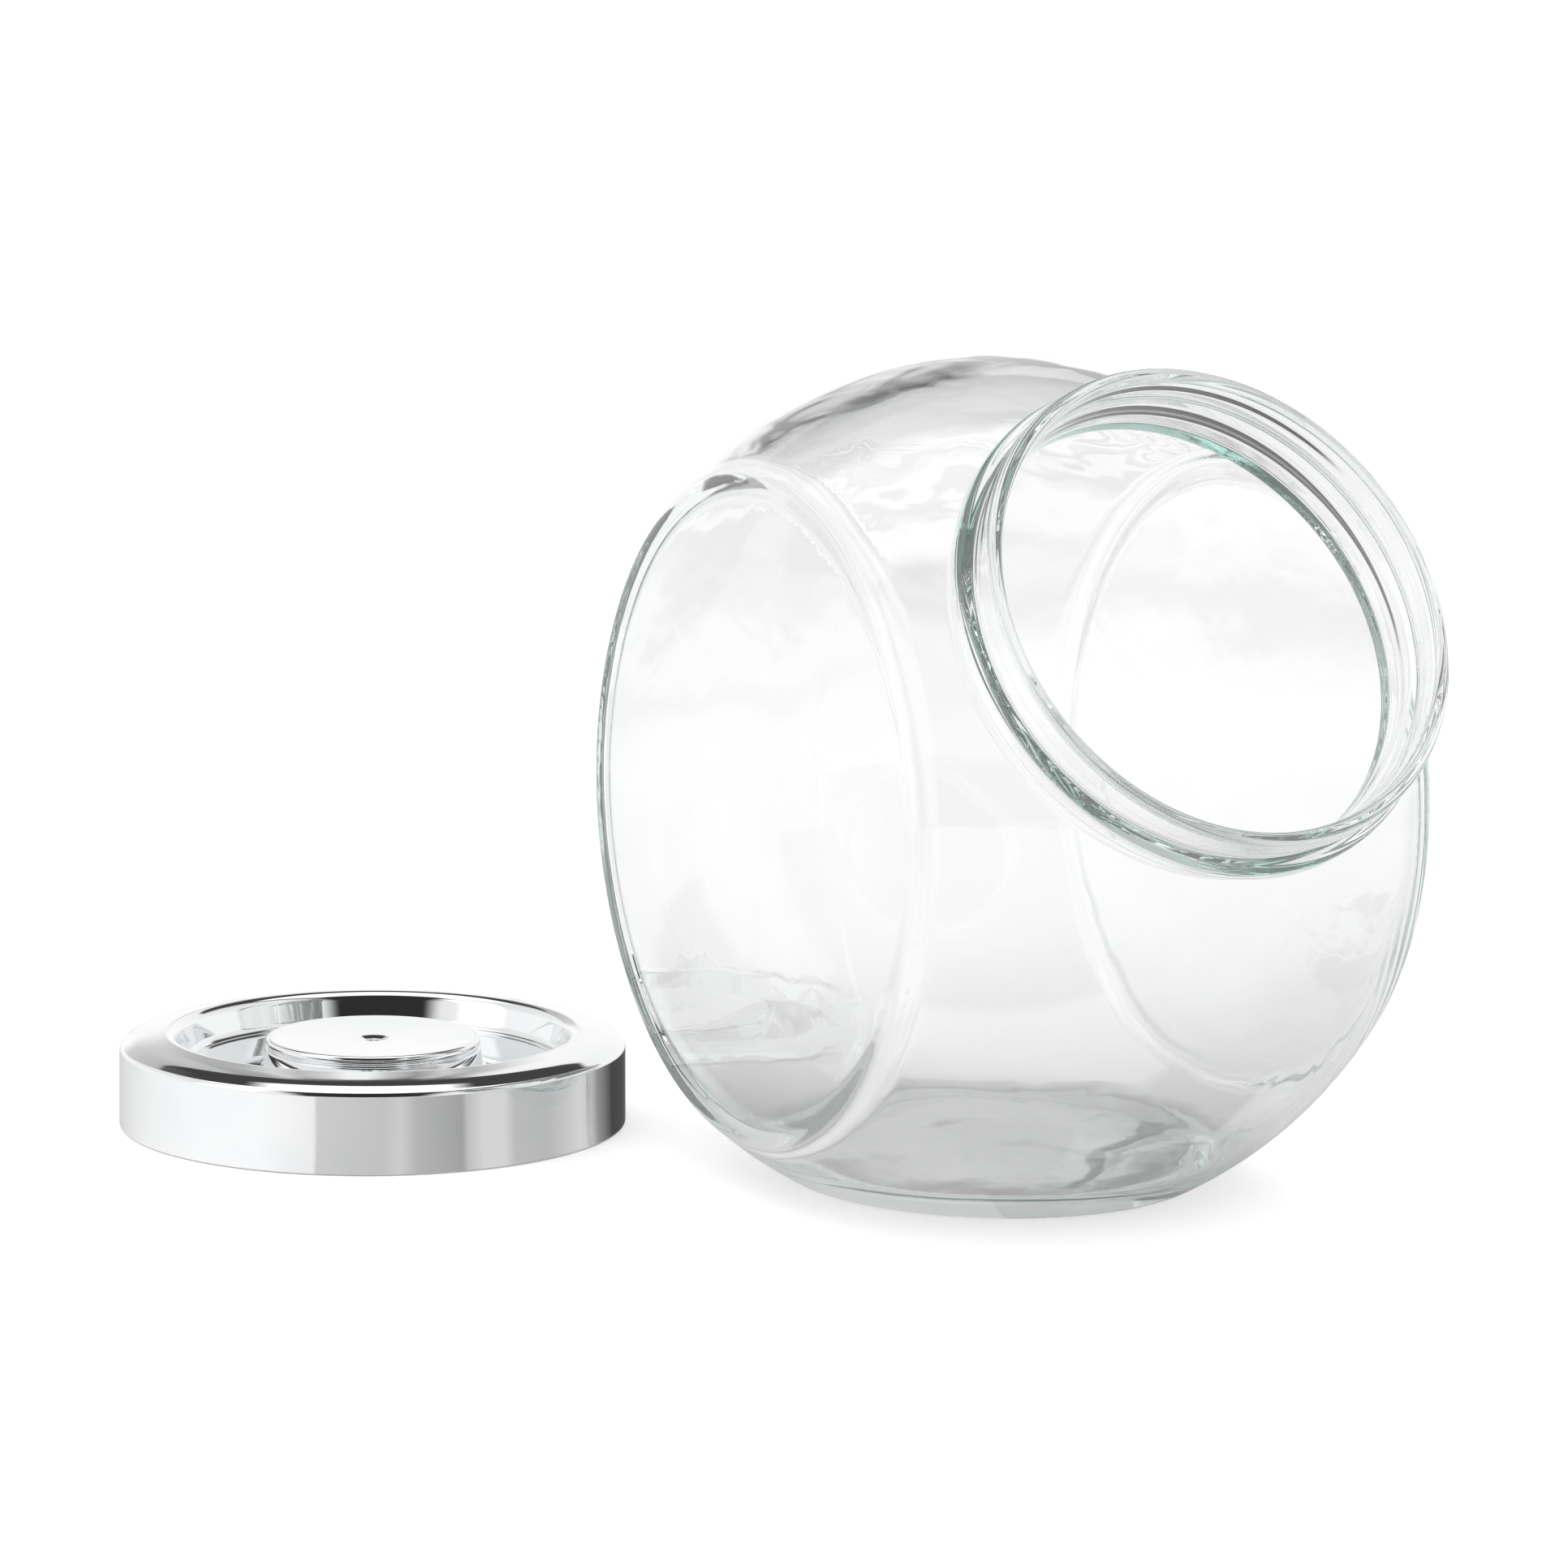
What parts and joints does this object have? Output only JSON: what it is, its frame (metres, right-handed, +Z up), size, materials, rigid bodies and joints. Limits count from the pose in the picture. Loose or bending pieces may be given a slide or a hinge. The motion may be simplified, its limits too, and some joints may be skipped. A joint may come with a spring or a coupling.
{
  "type": "lidded glass canister",
  "caption": "Ball-shaped clear glass storage jar with flat sides and a tilted round mouth, with a chromed press-on lid that has a disc knob in a dish.",
  "frame": {"origin": "centre of the jar's flat base, on the surface it stands on", "axes": "+X towards the side the mouth faces, +Y square to the two flat sides, +Z up; the lid lies at -X and -Y"},
  "size_m": [0.3121, 0.2491, 0.202],
  "materials": {
    "glass": "clear, smooth, faint green in thick parts",
    "chrome": "mirror",
    "liner": "fine moulded",
    "seal": "soft satin",
    "steel": "zinc plated"
  },
  "bodies": {
    "jar": {"glass_jar": "glass"},
    "lid": {"lid_cover": "chrome", "lid_knob": "chrome", "lid_liner": "liner", "seal_ring": "seal", "screw_washer": "steel", "knob_screw": "steel"}
  },
  "joints": [
    {"name": "lid_lift", "type": "slide", "parent": "jar", "child": "lid", "axis": [-0.1267, -0.1187, 0.9848], "range_m": [0, 0.22]}
  ]
}
